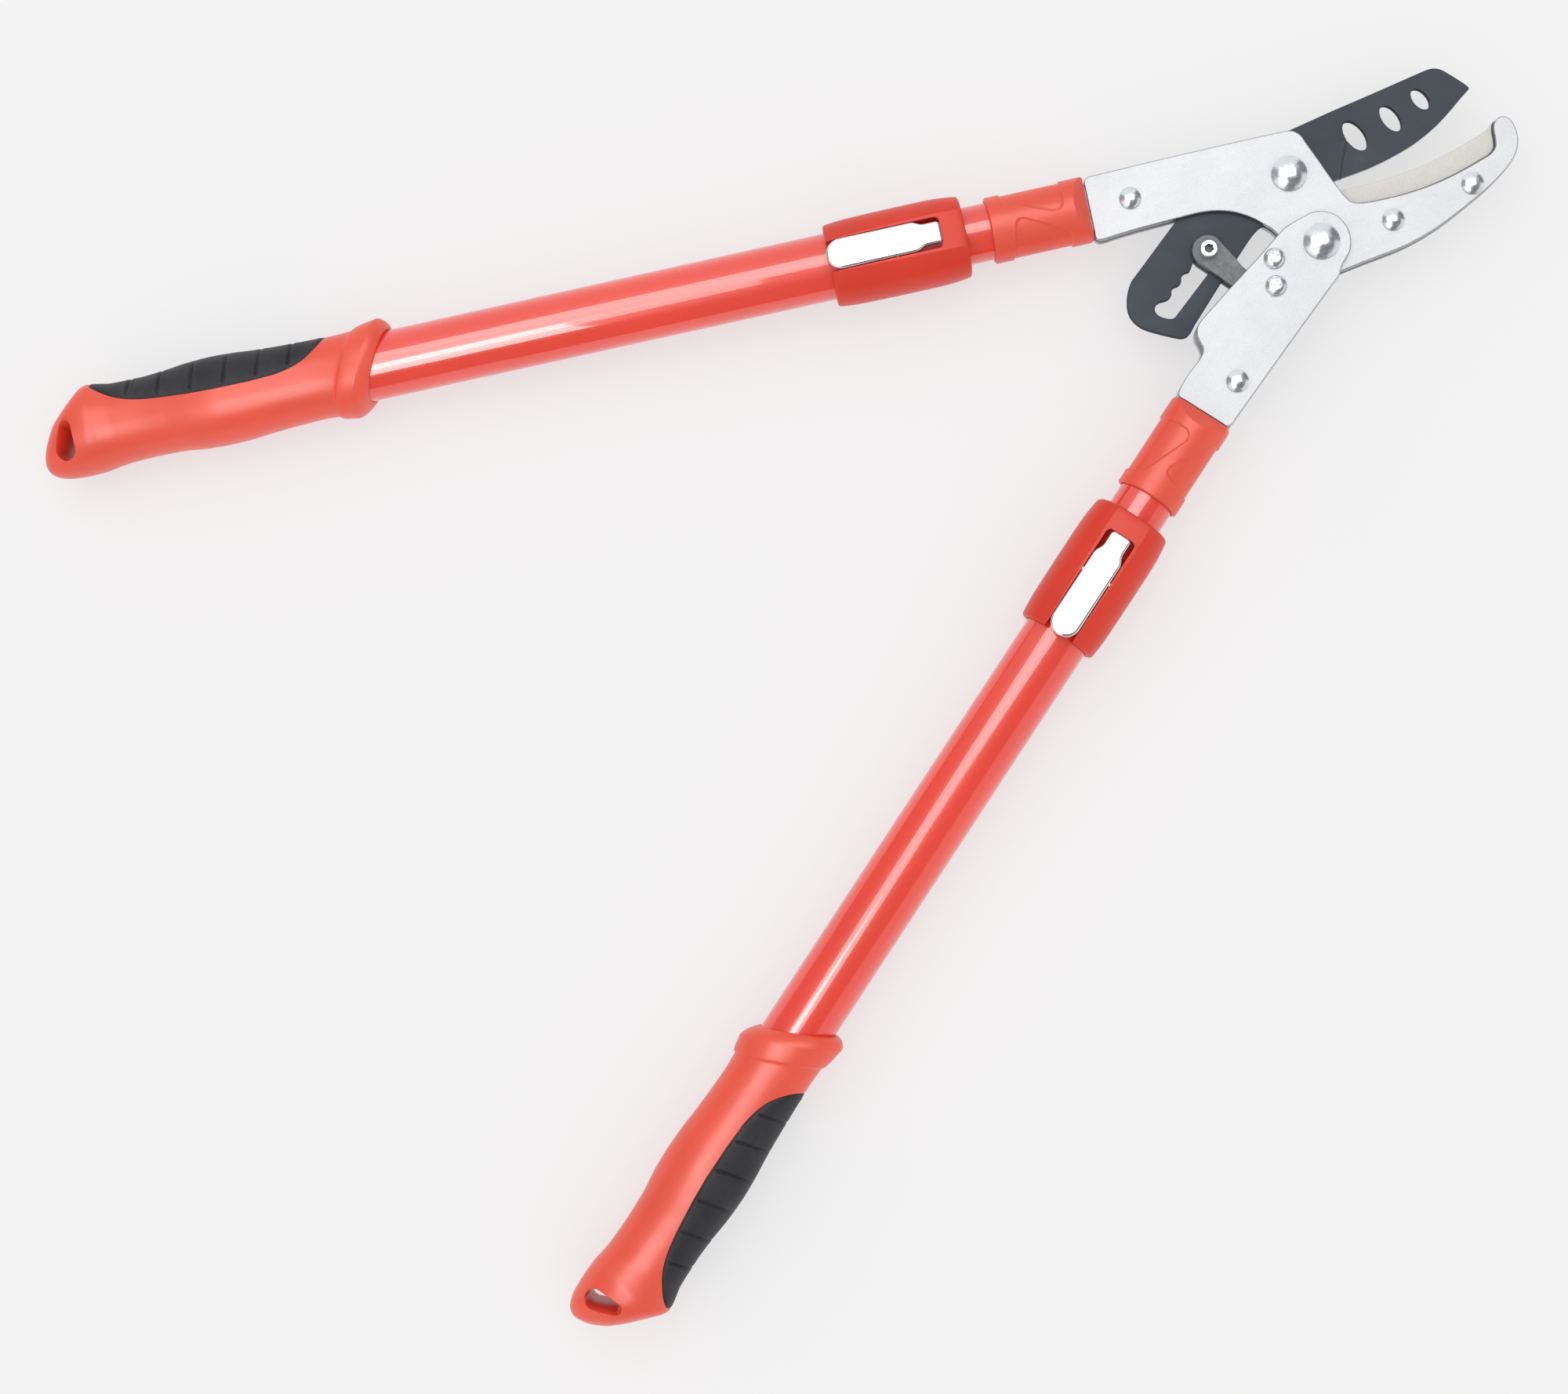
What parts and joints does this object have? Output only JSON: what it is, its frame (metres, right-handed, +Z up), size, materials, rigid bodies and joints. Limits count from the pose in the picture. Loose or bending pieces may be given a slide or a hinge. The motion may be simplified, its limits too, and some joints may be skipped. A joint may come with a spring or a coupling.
{
  "type": "telescopic ratchet lopper",
  "caption": "Two-handed anvil lopper with a ratchet pawl drive, a pivoting blade that closes on an anvil strip, and telescopic handles with lock tabs.",
  "frame": {"origin": "on the plane the tool rests on, under the centre of its bounding box at rest", "axes": "+X along the fixed arm towards the jaw, +Z up along the pivot axes, +Y from the moving arm towards the fixed arm"},
  "size_m": [0.6778, 0.4708, 0.0398],
  "materials": {
    "head_plate": "satin zinc plated sheet with a fine speckle",
    "blade": "satin dark coated blade steel with a bright ground edge",
    "anvil": "grainy sintered grey-beige metal",
    "pawl_link": "dull dark phosphated steel",
    "bright_fastener": "bright zinc plated rivets, screws and pins",
    "handle_tube": "glossy red powder coat",
    "red_plastic": "red moulded plastic with a fine satin grain",
    "soft_pad": "black soft overmoulded rubber",
    "glide_nylon": "natural nylon",
    "lock_tab": "mirror chrome pressed tab",
    "spring_wire": "spring wire"
  },
  "bodies": {
    "head_frame": {"upper_front_plate": "head_plate", "upper_rear_plate": "head_plate", "anvil": "anvil", "anvil_rivet_inner": "bright_fastener", "anvil_rivet_outer": "bright_fastener", "blade_pivot_rivet": "bright_fastener", "blade_pivot_bush": "bright_fastener", "arm_pivot_rivet": "bright_fastener", "arm_pivot_spacer": "bright_fastener", "upper_tang_rivet": "bright_fastener", "upper_tang_bar": "bright_fastener", "upper_collar": "red_plastic", "upper_inner_tube": "handle_tube", "upper_tube_glide": "glide_nylon"},
    "moving_arm": {"lower_front_plate": "head_plate", "lower_rear_plate": "head_plate", "lower_tang_rivet": "bright_fastener", "lower_tang_bar": "bright_fastener", "lower_collar": "red_plastic", "lower_inner_tube": "handle_tube", "lower_tube_glide": "glide_nylon", "pawl_pivot_screw": "bright_fastener", "pawl_pivot_nut": "bright_fastener", "pawl_stop_screw": "bright_fastener", "pawl_stop_nut": "bright_fastener", "pawl_spring": "spring_wire"},
    "blade_body": {"blade": "blade"},
    "pawl": {"pawl_link_front": "pawl_link", "pawl_link_rear": "pawl_link", "pawl_pin": "bright_fastener", "pawl_pin_nut": "bright_fastener", "pawl_bush": "bright_fastener"},
    "upper_handle": {"upper_outer_tube": "handle_tube", "upper_lock_sleeve": "red_plastic", "upper_tab_pin": "bright_fastener", "upper_tab_spring": "spring_wire", "upper_grip": "red_plastic", "upper_grip_pad": "soft_pad"},
    "lower_handle": {"lower_outer_tube": "handle_tube", "lower_lock_sleeve": "red_plastic", "lower_tab_pin": "bright_fastener", "lower_tab_spring": "spring_wire", "lower_grip": "red_plastic", "lower_grip_pad": "soft_pad"},
    "upper_tab": {"upper_lock_tab": "lock_tab", "upper_lock_peg": "bright_fastener"},
    "lower_tab": {"lower_lock_tab": "lock_tab", "lower_lock_peg": "bright_fastener"}
  },
  "joints": [
    {"name": "arm_hinge", "type": "hinge", "parent": "head_frame", "child": "moving_arm", "pos_m": [0.24444, 0.16891, 0.0195], "axis": [0, 0, 1], "range_deg": [-16.4, 40]},
    {"name": "blade_hinge", "type": "hinge", "parent": "head_frame", "child": "blade_body", "pos_m": [0.23767, 0.20233, 0.0195], "axis": [0, 0, 1], "range_deg": [-9.56, 23.25]},
    {"name": "pawl_hinge", "type": "hinge", "parent": "moving_arm", "child": "pawl", "pos_m": [0.22065, 0.15382, 0.0195], "axis": [0, 0, 1], "range_deg": [-36.05, 14.81]},
    {"name": "upper_extension", "type": "slide", "parent": "head_frame", "child": "upper_handle", "axis": [-1, 0, 0], "range_m": [0, 0.28]},
    {"name": "lower_extension", "type": "slide", "parent": "moving_arm", "child": "lower_handle", "axis": [-0.7083, -0.7059, 0], "range_m": [0, 0.28]},
    {"name": "upper_tab_press", "type": "hinge", "parent": "upper_handle", "child": "upper_tab", "pos_m": [0.0599, 0.20716, 0.0365], "axis": [0, -1, 0], "range_deg": [0, 6]},
    {"name": "lower_tab_press", "type": "hinge", "parent": "lower_handle", "child": "lower_tab", "pos_m": [0.11525, 0.04355, 0.0365], "axis": [0.7059, -0.7083, 0], "range_deg": [0, 6]}
  ],
  "couplings": [
    {"joint": "blade_hinge", "follows": "arm_hinge", "ratio": 0.58},
    {"joint": "pawl_hinge", "follows": "arm_hinge", "ratio": -0.9}
  ]
}
